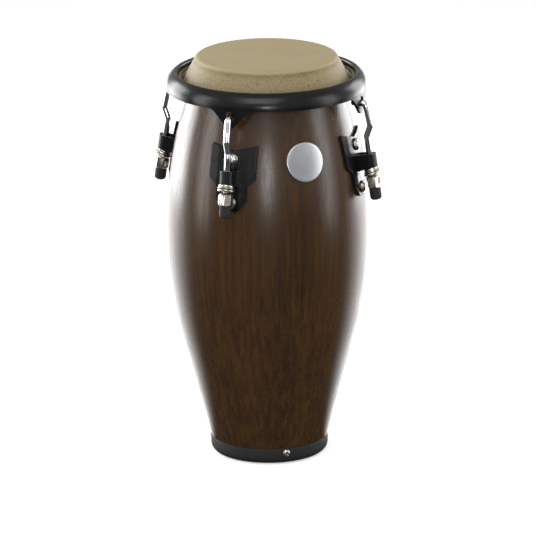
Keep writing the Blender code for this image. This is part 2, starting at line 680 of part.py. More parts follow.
def build():
    clear_scene()

    wood = finish("stained_wood", (0.105, 0.052, 0.026), 0.38)
    rubber = finish("black_rubber", (0.018, 0.017, 0.018), 0.7)
    skin = finish("raw_skin", (0.62, 0.54, 0.36), 0.6)
    black = finish("black_powder_coat", (0.012, 0.012, 0.015), 0.28, 0.3)
    nickel = finish("nickel", (0.72, 0.67, 0.58), 0.25, 1.0)
    chrome = finish("chrome", (0.82, 0.83, 0.85), 0.1, 1.0)
    steel = finish("zinc_steel", (0.55, 0.56, 0.58), 0.4, 1.0)
    silver = finish("silver_badge", (0.78, 0.78, 0.79), 0.3, 0.9)

    place("shell", shell_mesh(), wood)
    place("foot_ring", foot_ring_mesh(), rubber)
    place("head_top", head_top_mesh(), skin)
    place("head_collar", head_collar_mesh(), skin)
    place("head_tuck", head_tuck_mesh(), skin)
    place("flesh_hoop", flesh_hoop_mesh(), steel)
    place("rim", rim_mesh(), black)
    place("badge", badge_mesh(), silver, turn=facing(0))

    foot_screw = screw_mesh(
        "foot_screw", FOOT_SCREW_HEAD, FOOT_SCREW_HEAD * 0.3, FOOT_SCREW_SHANK, FOOT_SCREW_LENGTH
    )
    foot_screw.transform(Matrix.Translation((foot_radius + CLEARANCE, 0, FOOT_SCREW_HEIGHT)))
    for side, azimuth in FOOT_SCREW_AZIMUTHS.items():
        place("foot_screw_" + side, foot_screw, nickel, turn=facing(azimuth))

    plate = side_plate_mesh()
    grip = PLATE_SHEET + CLEARANCE + SHELL_WALL
    facet = (BOW_RADIUS - SHELL_WALL) * (1 - math.cos((UPPER_TAPER + LOWER_TAPER) / BOW_STEPS / 2))
    washer_back = grip + facet + CLEARANCE + BACK_WASHER**2 / 8 / (BELLY_RADIUS - SHELL_WALL) * 1.15
    nut_back = washer_back + BACK_WASHER_SHEET + CLEARANCE
    bolt_length = nut_back + BACK_NUT_HEIGHT + BOLT_STICK_OUT
    bolt = screw_mesh("plate_bolt", BOLT_HEAD, BOLT_HEAD_HEIGHT, BOLT_SHANK, bolt_length)
    back_washer = washer_mesh("back_washer", BACK_WASHER / 2, BOLT_SHANK / 2 + CLEARANCE, BACK_WASHER_SHEET)
    back_washer.transform(Matrix.Rotation(math.pi / 2, 4, "Y"))
    back_nut = back_nut_mesh()

    slant_rise = ROD_STANDOFF * math.tan(STRAP_SLANT)
    across = 1 / math.cos(STRAP_SLANT)
    cup_seat = slant_rise - (CLEARANCE + CUP_WASHER_HEIGHT / 2) * across
    washer_seat = cup_seat - (CUP_WASHER_HEIGHT / 2 + CLEARANCE + SEAT_WASHER_HEIGHT / 2) * across
    nut_top = washer_seat - SEAT_WASHER_HEIGHT / 2 * across - NUT_SEATING
    nut_seat = nut_top - NUT_HEIGHT / 2
    cap_seat = nut_top - NUT_HEIGHT - CLEARANCE
    rod_end = cap_seat - CAP_LENGTH + CAP_END_WALL + CLEARANCE
    cup_washer = cup_washer_mesh()
    seat_washer = washer_mesh("seat_washer", WASHER / 2, WASHER_BORE / 2, SEAT_WASHER_HEIGHT, SEAT_SINK)
    nut = tuning_nut_mesh()
    cap = end_cap_mesh()
    rod = tuning_rod_curve(rod_end)

    seat_radius, seat_level = on_plate(SEAT_HEIGHT)
    for lug, azimuth in LUGS.items():
        frame = place("lug_" + lug, None, turn=facing(azimuth))
        seat = place("seat_" + lug, None, parent=frame, location=(seat_radius, 0, seat_level), tilt=-SEAT_LEAN)
        place("side_plate_" + lug, plate, black, frame)
        for level, height in bolt_heights().items():
            radius, rise = on_plate(height)
            slope = slope_at(height)
            axis = place(f"bolt_axis_{level}_{lug}", None, parent=frame, location=(radius, 0, rise), tilt=-slope)
            place(f"plate_bolt_{level}_{lug}", bolt, nickel, axis, (CLEARANCE, 0, 0))
            washer_place = (-washer_back - BACK_WASHER_SHEET / 2, 0, 0)
            place(f"back_washer_{level}_{lug}", back_washer, steel, axis, washer_place)
            nut_place = (-nut_back - BACK_NUT_HEIGHT / 2, 0, 0)
            place(f"back_nut_{level}_{lug}", back_nut, steel, axis, nut_place)
        slant = -STRAP_SLANT
        place("cup_washer_" + lug, cup_washer, nickel, seat, (ROD_STANDOFF, 0, cup_seat), slant)
        place("seat_washer_" + lug, seat_washer, nickel, seat, (ROD_STANDOFF, 0, washer_seat), slant)
        place("tuning_rod_" + lug, rod, chrome, seat, (ROD_STANDOFF, 0, 0))
        place("tuning_nut_" + lug, nut, nickel, seat, (ROD_STANDOFF, 0, nut_seat))
        place("end_cap_" + lug, cap, rubber, seat, (ROD_STANDOFF, 0, cap_seat))


build()
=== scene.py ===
# Looks of the mini conga: stained staves, raw skin, powder-coated steel and plated hardware.

import json
import math

import bmesh
import bpy
from mathutils import Matrix, Vector


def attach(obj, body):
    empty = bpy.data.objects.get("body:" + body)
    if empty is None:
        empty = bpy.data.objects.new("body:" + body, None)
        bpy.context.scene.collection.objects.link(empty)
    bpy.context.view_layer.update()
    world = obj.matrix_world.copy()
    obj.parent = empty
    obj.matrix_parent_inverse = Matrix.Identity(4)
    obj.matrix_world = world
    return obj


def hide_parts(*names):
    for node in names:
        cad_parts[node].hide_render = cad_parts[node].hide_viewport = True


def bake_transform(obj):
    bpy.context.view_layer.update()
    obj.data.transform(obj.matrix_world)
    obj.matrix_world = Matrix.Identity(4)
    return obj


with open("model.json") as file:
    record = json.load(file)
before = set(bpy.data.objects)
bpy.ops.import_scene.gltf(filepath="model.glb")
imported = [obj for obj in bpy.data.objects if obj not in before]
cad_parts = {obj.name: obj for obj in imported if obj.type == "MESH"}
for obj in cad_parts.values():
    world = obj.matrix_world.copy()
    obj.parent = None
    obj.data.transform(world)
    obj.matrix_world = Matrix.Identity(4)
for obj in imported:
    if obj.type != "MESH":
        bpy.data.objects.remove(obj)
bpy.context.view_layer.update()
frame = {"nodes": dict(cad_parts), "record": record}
nodes = frame["nodes"]
record = frame["record"]
print("stage: frame loaded,", len(nodes), "nodes")


# One output of a material's nodes, with arithmetic that adds Math nodes.
class Socket:
    def __init__(self, shader, output):
        self.shader = shader
        self.output = output

    def mathWith(self, operation, *others):
        return self.shader.add("ShaderNodeMath", {"operation": operation}, [self, *others])

    def __add__(self, other):
        return self.mathWith("ADD", other)

    __radd__ = __add__

    def __mul__(self, other):
        return self.mathWith("MULTIPLY", other)

    __rmul__ = __mul__


# A material with a Principled BSDF whose constants sit on its own sockets.
class Shader:
    def __init__(self, name, settings):
        self.material = bpy.data.materials.new(name)
        self.material.use_nodes = True
        self.tree = self.material.node_tree
        self.surface = self.tree.nodes["Principled BSDF"]
        for socket, value in settings.items():
            self.surface.inputs[socket].default_value = value
        self.place = self.add("ShaderNodeTexCoord", {}, [], "Object")

    def add(self, kind, settings, inputs, output=0):
        node = self.tree.nodes.new(kind)
        for key, value in settings.items():
            setattr(node, key, value)
        pairs = inputs.items() if isinstance(inputs, dict) else enumerate(inputs)
        for key, value in pairs:
            if isinstance(value, Socket):
                self.tree.links.new(value.output, node.inputs[key])
            else:
                node.inputs[key].default_value = value
        return Socket(self, node.outputs[output])

    def noise(self, scale, detail=4.0, stretch=(1, 1, 1), roughness=0.5):
        place = self.stretched(stretch)
        settings = {"Vector": place, "Scale": scale, "Detail": detail, "Roughness": roughness}
        return self.add("ShaderNodeTexNoise", {}, settings, "Fac")

    def stretched(self, stretch):
        return self.add("ShaderNodeVectorMath", {"operation": "MULTIPLY"}, [self.place, stretch])

    def mix(self, factor, first, second):
        settings = {"data_type": "RGBA"}
        return self.add("ShaderNodeMix", settings, {0: factor, 6: first, 7: second}, 2)

    def ramp(self, value, low, high, start=0.0, end=1.0):
        inputs = {0: value, 1: low, 2: high, 3: start, 4: end}
        return self.add("ShaderNodeMapRange", {"clamp": True}, inputs)

    def link(self, socket, value):
        self.tree.links.new(value.output, self.surface.inputs[socket])

    def bump(self, height, distance, strength=1.0):
        inputs = {"Height": height, "Distance": distance, "Strength": strength}
        self.link("Normal", self.add("ShaderNodeBump", {}, inputs, "Normal"))


def colour(red, green, blue):
    return (red, green, blue, 1.0)


woodLook = {
    "dark": colour(0.006, 0.0022, 0.0005),
    "light": colour(0.066, 0.028, 0.006),
    "grainScale": 230.0,
    "stretch": (1.0, 1.0, 0.022),
    "poreScale": 900.0,
    "poreStretch": (1.0, 1.0, 0.035),
    "staves": 18,
    "roughness": (0.2, 0.32),
}


def woodMaterial():
    shader = Shader("stainedStaves", {"Specular IOR Level": 0.5})
    parts = shader.add("ShaderNodeSeparateXYZ", {}, [shader.place])
    across = shader.add("ShaderNodeSeparateXYZ", {}, [shader.place], 1)
    angle = shader.add("ShaderNodeMath", {"operation": "ARCTAN2"}, [across, parts])
    stave = (angle * (woodLook["staves"] / math.tau)).mathWith("FLOOR")
    tone = shader.add("ShaderNodeTexWhiteNoise", {"noise_dimensions": "1D"}, {"W": stave}, "Value")
    grain = shader.noise(woodLook["grainScale"], 8.0, woodLook["stretch"], 0.6)
    pores = shader.noise(woodLook["poreScale"], 3.0, woodLook["poreStretch"], 0.5)
    broad = shader.noise(14.0, 4.0, (1, 1, 0.2))
    streaks = shader.ramp(grain, 0.32, 0.7) * 0.5 + shader.ramp(pores, 0.35, 0.62) * 0.18
    shade = streaks + shader.ramp(broad, 0.35, 0.65) * 0.22 + tone * 0.16
    stained = shader.mix(shade, woodLook["dark"], woodLook["light"])
    pitted = shader.ramp(pores, 0.62, 0.7) * 0.6
    shader.link("Base Color", shader.mix(pitted, stained, woodLook["dark"]))
    low, high = woodLook["roughness"]
    shader.link("Roughness", shader.ramp(grain, 0.3, 0.7, high, low))
    shader.bump(grain * 0.6 + pores * 0.4, 0.00016, 0.4)
    return shader.material


def rubberMaterial():
    shader = Shader("footRubber", {"Specular IOR Level": 0.35})
    speck = shader.noise(900.0, 3.0)
    dark, light = colour(0.006, 0.006, 0.006), colour(0.022, 0.021, 0.02)
    shader.link("Base Color", shader.mix(speck, dark, light))
    shader.link("Roughness", shader.ramp(speck, 0.3, 0.7, 0.55, 0.75))
    shader.bump(speck, 0.0001, 0.5)
    return shader.material


skinLook = {
    "pale": colour(0.39, 0.315, 0.17),
    "tan": colour(0.27, 0.21, 0.095),
    # This fleck colour also darkens the crease ring, which is painted shade.
    "fleckAndCreaseShade": colour(0.05, 0.035, 0.01),
    "crease": (0.3962, 0.3986),
}


def skinMaterial():
    shader = Shader("rawSkin", {"Subsurface Weight": 0.05, "Subsurface Scale": 0.002})
    height = shader.add("ShaderNodeSeparateXYZ", {}, [shader.place], 2)
    cloud = shader.noise(22.0, 5.0)
    fibre = shader.noise(1000.0, 5.0, (1, 1, 0.8), 0.65)
    hair = shader.noise(260.0, 6.0, (1, 1, 0.45), 0.7)
    low, high = skinLook["crease"]
    side = shader.ramp(height, low, high, 1.0, 0.0)
    # Painted shade: a darker ring along the crease where the skin turns over the bearing edge.
    creaseShade = side * shader.ramp(height, low - 0.004, low, 0.0, 1.0)
    tint = shader.ramp(cloud, 0.3, 0.72) * 0.25 + side * 0.75
    base = shader.mix(tint, skinLook["pale"], skinLook["tan"])
    flecks = shader.ramp(fibre, 0.47, 0.62) * (side * 0.5 + 0.04)
    flecks = flecks + shader.ramp(hair, 0.55, 0.68) * side * 0.3
    shader.link("Base Color", shader.mix(flecks + creaseShade * 0.3, base, skinLook["fleckAndCreaseShade"]))
    shader.link("Roughness", shader.ramp(cloud, 0.3, 0.7, 0.5, 0.68))
    shader.bump(fibre * 0.5 + hair * 0.5, 0.0002, 0.5)
    return shader.material


def coatMaterial():
    shader = Shader("blackPowderCoat", {"Specular IOR Level": 0.35})
    peel = shader.noise(650.0, 3.0)
    wear = shader.noise(40.0, 4.0)
    dark, light = colour(0.0015, 0.0015, 0.002), colour(0.005, 0.005, 0.006)
    shader.link("Base Color", shader.mix(wear, dark, light))
    shader.link("Roughness", shader.ramp(wear, 0.3, 0.7, 0.2, 0.34))
    shader.bump(peel, 0.00008, 0.35)
    return shader.material


def metalMaterial(name, dark, light, smooth, rough):
    shader = Shader(name, {"Metallic": 1.0})
    cloud = shader.noise(70.0, 5.0)
    fine = shader.noise(900.0, 2.0)
    shader.link("Base Color", shader.mix(shader.ramp(cloud, 0.3, 0.7), dark, light))
    shader.link("Roughness", shader.ramp(cloud, 0.3, 0.7, smooth, rough))
    shader.bump(fine, 0.00003, 0.3)
    return shader.material


looks = {
    "stained_wood": woodMaterial(),
    "black_rubber": rubberMaterial(),
    "raw_skin": skinMaterial(),
    "black_steel": coatMaterial(),
    "nickel": metalMaterial(
        "nickelPlate", colour(0.5, 0.46, 0.4), colour(0.72, 0.68, 0.6), 0.18, 0.3
    ),
    "chrome": metalMaterial(
        "chromePlate", colour(0.72, 0.73, 0.76), colour(0.86, 0.87, 0.9), 0.06, 0.13
    ),
    "zinc_steel": metalMaterial(
        "zincPlate", colour(0.4, 0.41, 0.43), colour(0.6, 0.61, 0.64), 0.3, 0.5
    ),
    "silver_badge": metalMaterial(
        "satinBadge", colour(0.52, 0.53, 0.55), colour(0.6, 0.61, 0.63), 0.3, 0.4
    ),
}
print("stage: materials made")

for part in record["subparts"]:
    dressed = nodes[part["node"]].data
    dressed.materials.clear()
    dressed.materials.append(looks[part["material_slot"]])
    dressed.shade_smooth()
    dressed.set_sharp_from_angle(angle=math.radians(32))
print("stage: nodes dressed")


# Fine pieces

shellForm = {
    "belly": 0.0993,
    "bellyHeight": 0.226,
    "bow": 0.435,
    "taper": math.radians(15.5),
    "wall": 0.011,
    "skinGap": 0.0017,
    "edgeRound": 0.004,
    "edgeBevel": math.radians(33),
    "foot": 0.006,
    "footStep": 0.0163,
    "footWall": 0.0043,
    "insideBox": 0.0002,
}


def arcPoints(centre, radius, start, end, steps):
    angles = [start + (end - start) * i / steps for i in range(steps + 1)]
    return [(centre[0] + radius * math.cos(a), centre[1] + radius * math.sin(a)) for a in angles]


def meshFrom(name, form):
    bmesh.ops.recalc_face_normals(form, faces=form.faces)
    mesh = bpy.data.meshes.new(name)
    form.to_mesh(mesh)
    form.free()
    mesh.shade_smooth()
    mesh.set_sharp_from_angle(angle=math.radians(34))
    return mesh


# A body turned about Z, or laid along X. The ends of an open outline lie on the axis.
def spun(name, outline, sides, axis="Z"):
    form = bmesh.new()
    points = [form.verts.new((r, 0, z)) for r, z in outline]
    edges = [form.edges.new(pair) for pair in zip(points, points[1:])]
    if outline[0][0] > 0:
        edges.append(form.edges.new((points[-1], points[0])))
    bmesh.ops.spin(
        form,
        geom=points + edges,
        cent=(0, 0, 0),
        axis=(0, 0, 1),
        angle=math.tau,
        steps=sides,
        use_merge=True,
    )
    bmesh.ops.remove_doubles(form, verts=form.verts, dist=1e-6)
    mesh = meshFrom(name, form)
    if axis == "X":
        mesh.transform(Matrix.Rotation(math.pi / 2, 4, "Y"))
    return mesh


# A prism along an axis. Its outline is (y, z) along X and (x, y) along Z.
def prism(name, outline, start, end, axis):
    form = bmesh.new()
    corners = [(start, a, b) if axis == "X" else (a, b, start) for a, b in outline]
    face = form.faces.new([form.verts.new(corner) for corner in corners])
    grown = bmesh.ops.extrude_face_region(form, geom=[face])["geom"]
    moved = [item for item in grown if isinstance(item, bmesh.types.BMVert)]
    shift = (end - start, 0, 0) if axis == "X" else (0, 0, end - start)
    bmesh.ops.translate(form, verts=moved, vec=shift)
    return meshFrom(name, form)


def joined(name, meshes):
    form = bmesh.new()
    for mesh, place in meshes:
        copied = mesh.copy()
        copied.transform(place)
        form.from_mesh(copied)
        bpy.data.meshes.remove(copied)
    return meshFrom(name, form)


# The mesh after each Boolean, given as (operation, mesh).
def carved(mesh, *operations):
    objects = [bpy.data.objects.new(mesh.name, mesh)]
    bpy.context.scene.collection.objects.link(objects[0])
    for operation, toolMesh in operations:
        tool = bpy.data.objects.new(toolMesh.name, toolMesh)
        bpy.context.scene.collection.objects.link(tool)
        objects.append(tool)
        step = objects[0].modifiers.new(operation.lower(), "BOOLEAN")
        step.operation = operation
        step.object = tool
    bpy.context.view_layer.update()
    graph = bpy.context.evaluated_depsgraph_get()
    result = bpy.data.meshes.new_from_object(objects[0].evaluated_get(graph))
    for helper in objects:
        bpy.data.objects.remove(helper, do_unlink=True)
    result.shade_smooth()
    result.set_sharp_from_angle(angle=math.radians(34))
    return result


def piece(name, mesh, slotName, body, replaced, place=None):
    made = bpy.data.objects.new(name, mesh)
    bpy.context.scene.collection.objects.link(made)
    if not mesh.materials:
        mesh.materials.append(looks[slotName])
    if place is not None:
        made.matrix_world = place
    if body:
        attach(made, body)
    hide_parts(*replaced)
    return made


def softEdges(made, width, segments=3):
    bevel = made.modifiers.new("edges", "BEVEL")
    bevel.width = width
    bevel.segments = segments
    bevel.limit_method = "ANGLE"
    bevel.angle_limit = math.radians(40)
    bevel.harden_normals = True


def shellRadius(height, offset=0.0):
    bow = shellForm["bow"] + offset
    taper = shellForm["taper"]
    middle = shellForm["belly"] - shellForm["bow"]
    rise = height - shellForm["bellyHeight"]
    reach = bow * math.sin(taper)
    if abs(rise) > reach:
        return middle + bow * math.cos(taper) - (abs(rise) - reach) * math.tan(taper)
    return middle + math.sqrt(bow**2 - rise**2)


def slopeAt(height):
    return math.asin((height - shellForm["bellyHeight"]) / shellForm["bow"])


def turnTo(azimuth):
    return Matrix.Rotation(math.radians(azimuth - 90), 4, "Z")


headTop = 0.4
crown = (
    shellRadius(headTop - shellForm["skinGap"] - shellForm["edgeRound"])
    - shellForm["edgeRound"] / math.cos(shellForm["taper"]),
    headTop - shellForm["skinGap"] - shellForm["edgeRound"],
)


def makeShell():
    form = shellForm
    centre = (form["belly"] - form["bow"], form["bellyHeight"])
    outer = form["bow"] - form["insideBox"]
    footRadius = shellRadius(form["footStep"], -form["insideBox"])
    innerFoot = shellRadius(form["foot"], -form["wall"])
    rebate = footRadius - form["footWall"]
    outline = [(innerFoot, form["foot"]), (rebate, form["foot"]), (rebate, form["footStep"])]
    outline += [(footRadius, form["footStep"])]
    outline += arcPoints(centre, outer, -form["taper"], form["taper"], 40)
    rounding = form["edgeRound"] - form["insideBox"]
    outline += arcPoints(crown, rounding, form["taper"], math.pi / 2, 10)
    bevelRadius, bevelHeight = crown[0], headTop - form["skinGap"]
    while bevelRadius > shellRadius(bevelHeight, -form["wall"]):
        bevelRadius -= 0.0001
        bevelHeight -= 0.0001 * math.tan(form["edgeBevel"])
    outline += [(bevelRadius, bevelHeight)]
    outline += arcPoints(centre, form["bow"] - form["wall"], form["taper"], -form["taper"], 28)
    piece("staveShell", spun("staveShell", outline, 192), "stained_wood", "shell", ["shell"])


footLook = {"round": 0.0078, "wall": 0.004, "sole": 0.0057, "height": 0.016, "bead": 0.0007}


def makeFootRing():
    outer = shellRadius(shellForm["footStep"])
    inner = shellRadius(shellForm["foot"], -shellForm["wall"])
    centre = (outer - footLook["round"], footLook["round"])
    bead = footLook["bead"]
    lip = outer - footLook["wall"]
    outline = [(inner, footLook["sole"])]
    outline += arcPoints((inner + bead, bead), bead, -math.pi, -math.pi / 2, 4)
    outline += arcPoints(centre, footLook["round"], -math.pi / 2, 0, 12)
    outline += arcPoints((outer - bead, footLook["height"] - bead), bead, 0, math.pi / 2, 4)
    outline += [(lip, footLook["height"]), (lip, footLook["sole"])]
    piece("footRing", spun("footRing", outline, 144), "black_rubber", "shell", ["foot_ring"])


skinForm = {"thick": 0.0014, "gap": 0.0003, "hoop": (0.086, 0.3738), "wire": 0.003, "lip": 0.0055}


def collarAngle():
    out = skinForm["hoop"][0] - crown[0]
    up = skinForm["hoop"][1] - crown[1]
    near = shellForm["edgeRound"] + skinForm["gap"] + skinForm["thick"]
    hollow = skinForm["wire"] + skinForm["gap"]
    return math.acos((near + hollow) / math.hypot(out, up)) + math.atan2(up, out)


# One skin: over the bearing edge, down the collar, and round the hoop to its trimmed lip.
def makeSkin():
    normal = collarAngle()
    inner = shellForm["edgeRound"] + skinForm["gap"]
    thick = skinForm["thick"]
    hollow = skinForm["wire"] + skinForm["gap"]
    hoop = Vector(skinForm["hoop"])
    across = Vector((math.cos(normal), math.sin(normal)))
    lipEnd = 2.5 * math.pi + math.radians(20)
    lipTop = hoop.y + skinForm["lip"]
    collarTop = Vector(crown) + across * (inner + thick)
    collarFoot = hoop - across * hollow
    rows = 10
    outside = [(crown[0] * i / 8, headTop) for i in range(8)]
    outside += arcPoints(crown, inner + thick, math.pi / 2, normal, 9)
    outside += [tuple(collarTop.lerp(collarFoot, i / rows)) for i in range(1, rows)]
    outside += arcPoints(hoop, hollow, normal + math.pi, normal + math.pi + 0.01, 1)
    tuckOut = arcPoints(hoop, hollow + thick, normal + math.pi, lipEnd, 22)
    tuckIn = arcPoints(hoop, hollow, lipEnd + math.radians(15), normal + math.pi + 0.03, 22)
    lip = [(tuckIn[0][0] + thick * 0.5, lipTop), (tuckIn[0][0] + thick * 0.1, lipTop + 0.0002)]
    lip += [(tuckIn[0][0] - thick * 0.3, lipTop)]
    under = [tuple(collarFoot.lerp(collarTop, i / rows) - across * thick) for i in range(1, rows)]
    under += arcPoints(crown, inner, normal, math.pi / 2, 9)
    under += [(crown[0] * (8 - i) / 8, headTop - thick) for i in range(1, 9)]
    outline = outside + tuckIn[::-1] + lip[::-1] + tuckOut[::-1] + under
    mesh = spun("headSkin", outline, 160)
    made = piece("headSkin", mesh, "raw_skin", None, ["head_top", "head_collar", "head_tuck"])
    roughen(made, 0.00022)
    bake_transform(made)


# Small swells in the skin's collar, none at the head's own height or beyond the rim.
def roughen(made, depth):
    for vertex in made.data.vertices:
        x, y, z = vertex.co
        around = math.atan2(y, x)
        swell = math.sin(7 * around + 1.3) * 0.5 + math.sin(19 * around + 40 * z) * 0.3
        swell += math.sin(43 * around) * 0.2
        share = min(1.0, max(0.0, (headTop - 0.004 - z) / 0.006))
        vertex.co.x -= math.cos(around) * depth * share * (1 + swell) * 0.5
        vertex.co.y -= math.sin(around) * depth * share * (1 + swell) * 0.5


rimForm = {
    "radius": 0.0984,
    "sheet": 0.0028,
    "lipOffset": 0.0004,
    "lipDepth": 0.0024,
    "shoulder": 0.016,
    "skirt": 0.0021,
    "earDepth": 0.0183,
    "earTip": 0.005,
    "earSide": math.radians(42),
    "earFillet": 0.009,
    "earHole": 0.0105,
    "hookDrop": 0.0078,
}
lugs = {"front_left": -45, "front_right": 45, "back_right": 135, "back_left": -135}
rodRadius = 0.0032
gap = 0.0003

rimInner = skinForm["hoop"][0] + rimForm["lipOffset"]
rimLip = skinForm["hoop"][1] + skinForm["wire"] + 2 * gap + skinForm["thick"]
rimCentreRadius = rimForm["radius"] - rimForm["shoulder"]
rimCrest = math.acos(
    (rimInner + rimForm["sheet"] - rimCentreRadius) / (rimForm["shoulder"] - rimForm["sheet"])
)
rimCrestHeight = rimLip + rimForm["lipDepth"]
rimCentreHeight = rimCrestHeight - (rimForm["shoulder"] - rimForm["sheet"]) * math.sin(rimCrest)
rimEdge = rimCentreHeight - rimForm["skirt"]
hookHeight = rimEdge - rimForm["hookDrop"]


# A path with an arc of each radius in place of its corner.
def bend(points, radii, steps):
    path = []
    for i, point in enumerate(points):
        if radii[i] == 0:
            path.append(point)
            continue
        corner = Vector(point)
        back = (Vector(points[i - 1]) - corner).normalized()
        ahead = (Vector(points[i + 1]) - corner).normalized()
        half = back.angle(ahead) / 2
        centre = corner + (back + ahead).normalized() * (radii[i] / math.sin(half))
        first = corner + back * (radii[i] / math.tan(half)) - centre
        last = corner + ahead * (radii[i] / math.tan(half)) - centre
        sweep = first.angle_signed(last)
        for step in range(steps + 1):
            path.append(tuple(centre + Matrix.Rotation(-sweep * step / steps, 2) @ first))
    return path


def earOutline():
    tip = (0, rimEdge - rimForm["earDepth"] + rimForm["earTip"])
    angle = rimForm["earSide"]
    side = Vector((math.sin(angle), math.cos(angle)))
    leave = Vector(tip) + Vector((side.y, -side.x)) * rimForm["earTip"]
    root = leave + side * ((rimEdge - leave.y) / side.y)
    level = (root.x + rimForm["earFillet"], rimEdge)
    flank = bend([tuple(leave), tuple(root), level], [0, rimForm["earFillet"], 0], 10)[:-2]
    last = Vector(flank[-1])
    beyond = last + (last - Vector(flank[-2])) * 0.5
    roundTip = arcPoints(tip, rimForm["earTip"], angle - math.pi, -angle, 14)[1:-1]
    right = flank + [tuple(beyond), (beyond.x, rimEdge + rimForm["sheet"])]
    return [(-w, height) for w, height in right[::-1]] + roundTip + right


def makeRim():
    sheet = rimForm["sheet"]
    centre = (rimCentreRadius, rimCentreHeight)
    crest = (rimInner + sheet, rimCrestHeight)
    radius = rimForm["radius"]
    skirtEnd = rimEdge - rimForm["earDepth"] - sheet
    outline = [(rimInner, rimLip), (crest[0], rimLip)]
    outline += arcPoints(centre, rimForm["shoulder"] - sheet, rimCrest, 0, 10)
    outline += [(radius - sheet, skirtEnd), (radius, skirtEnd)]
    outline += arcPoints(centre, rimForm["shoulder"], 0, rimCrest, 18)
    outline += arcPoints(crest, sheet, rimCrest, math.pi, 8)[1:]
    blank = spun("rolledRim", outline, 192)
    near, far, low = radius - sheet * 3, radius + sheet * 2, skirtEnd - sheet
    ring = spun("waste", [(near, low), (far, low), (far, rimEdge), (near, rimEdge)], 192)
    ear = prism("ear", earOutline(), near - sheet, far + sheet, "X")
    ears = joined("ears", [(ear, turnTo(azimuth)) for azimuth in lugs.values()])
    waste = carved(ring, ("DIFFERENCE", ears))
    opening = rimForm["earHole"] / 2
    hole = spun("earHole", [(0, near), (opening, near), (opening, far), (0, far)], 48, "X")
    hole.transform(Matrix.Translation((0, 0, hookHeight - rodRadius - gap + opening)))
    holes = joined("earHoles", [(hole, turnTo(azimuth)) for azimuth in lugs.values()])
    rolled = carved(blank, ("DIFFERENCE", waste), ("DIFFERENCE", holes))
    made = piece("rolledRim", rolled, "black_steel", "rim", ["rim"])
    softEdges(made, 0.0004)


makeShell()
makeFootRing()
makeSkin()
makeRim()
print("stage: turned pieces made")

# Lugs: each piece is made in the plane of its lug, then turned to all four places

lugForm = {
    "seatHeight": 0.292,
    "plateSheet": 0.0025,
    "standoff": 0.012,
    "strapSlant": math.radians(12.3),
    "kickStart": 0.0336,
    "kickRise": 0.0098,
    "kickOut": 0.0053,
    "kickBend": 0.006,
    "hookBend": 0.0048,
    "hookReach": 0.0072,
    "tipRound": 0.0006,
}
seatLean = slopeAt(lugForm["seatHeight"])


def onPlate(height):
    slope = slopeAt(height)
    reach = shellForm["bow"] + gap + lugForm["plateSheet"]
    middle = shellForm["belly"] - shellForm["bow"]
    return middle + reach * math.cos(slope), shellForm["bellyHeight"] + reach * math.sin(slope)


def seatPlace(azimuth):
    radius, height = onPlate(lugForm["seatHeight"])
    shift = Matrix.Translation((radius, 0, height))
    return turnTo(azimuth) @ shift @ Matrix.Rotation(-seatLean, 4, "Y")


def boltPlace(azimuth, height):
    radius, level = onPlate(height)
    shift = Matrix.Translation((radius, 0, level))
    return turnTo(azimuth) @ shift @ Matrix.Rotation(-slopeAt(height), 4, "Y")


def inSeat(radius, height):
    origin = onPlate(lugForm["seatHeight"])
    out, up = radius - origin[0], height - origin[1]
    return (
        out * math.cos(seatLean) + up * math.sin(seatLean),
        up * math.cos(seatLean) - out * math.sin(seatLean),
    )


def outOfSeat(n, s):
    radius, height = onPlate(lugForm["seatHeight"])
    return (
        radius + n * math.cos(seatLean) - s * math.sin(seatLean),
        height + n * math.sin(seatLean) + s * math.cos(seatLean),
    )


hardware = {
    "cup": 0.004,
    "seat": 0.0025,
    "washer": 0.0086,
    "washerBore": 0.0042,
    "sink": 0.0012,
    "nutFlats": 0.0126,
    "nutHeight": 0.0125,
    "nutGap": 0.0005,
    "cap": 0.00575,
    "capLength": 0.012,
    "capEnd": 0.002,
}
across = 1 / math.cos(lugForm["strapSlant"])
strapSeat = lugForm["standoff"] * math.tan(lugForm["strapSlant"])
cupSeat = strapSeat - (gap + hardware["cup"] / 2) * across
washerSeat = cupSeat - (hardware["cup"] / 2 + gap + hardware["seat"] / 2) * across
nutTop = washerSeat - hardware["seat"] / 2 * across - hardware["nutGap"]
capSeat = nutTop - hardware["nutHeight"] - gap
rodEnd = capSeat - hardware["capLength"] + hardware["capEnd"] + gap


def rodPath():
    tipRadius = rimForm["radius"] - rimForm["sheet"] - lugForm["hookReach"]
    kickFoot = (lugForm["standoff"], lugForm["kickStart"])
    kickTop = (kickFoot[0] + lugForm["kickOut"], kickFoot[1] + lugForm["kickRise"])
    apex = outOfSeat(*kickTop)
    level = rimForm["radius"] + gap
    cornerRadius = level
    for _ in range(12):
        lean = math.atan2(apex[0] - cornerRadius, hookHeight - apex[1])
        cornerRadius = level + lugForm["hookBend"] * math.tan((math.pi / 2 - lean) / 2)
    points = [inSeat(tipRadius, hookHeight), inSeat(cornerRadius, hookHeight)]
    points += [kickTop, kickFoot, (lugForm["standoff"], rodEnd)]
    return bend(points, [0, lugForm["hookBend"], lugForm["kickBend"], lugForm["kickBend"], 0], 8)


